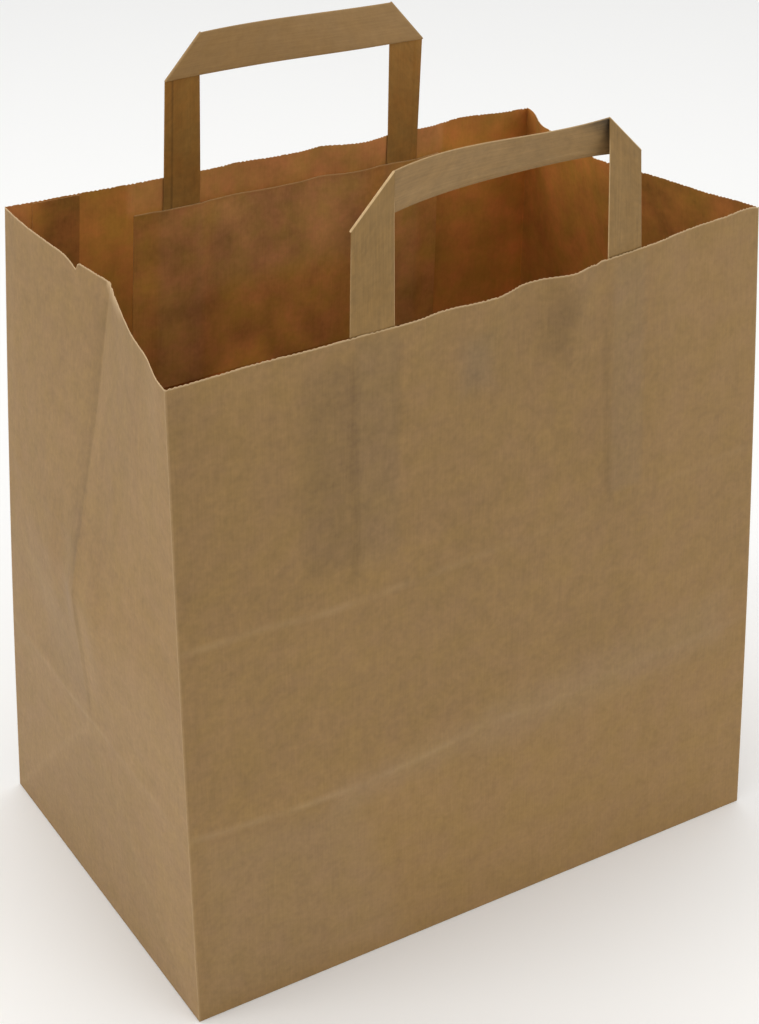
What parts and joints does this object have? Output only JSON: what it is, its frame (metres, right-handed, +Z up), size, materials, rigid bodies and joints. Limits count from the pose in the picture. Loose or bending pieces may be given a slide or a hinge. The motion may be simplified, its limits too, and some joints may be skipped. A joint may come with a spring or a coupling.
{
  "type": "paper carrier bag",
  "caption": "Open brown kraft paper carrier bag with gusseted sides, a glued block bottom and flat folded paper-tape handles, standing upright.",
  "frame": {"origin": "the middle of the folded base, on the ground under the outer bottom flap", "axes": "+Z up out of the mouth, +X along the broad panels, and -Y out of the front panel"},
  "size_m": [0.2785, 0.2069, 0.3202],
  "materials": {
    "kraft": "matt ribbed brown kraft paper",
    "tape": "matt folded kraft paper tape",
    "patch": "matt kraft paper patch"
  },
  "bodies": {
    "root": {"bag_body": "kraft", "front_handle": "tape", "back_handle": "tape", "front_patch": "patch", "back_patch": "patch"}
  },
  "joints": []
}
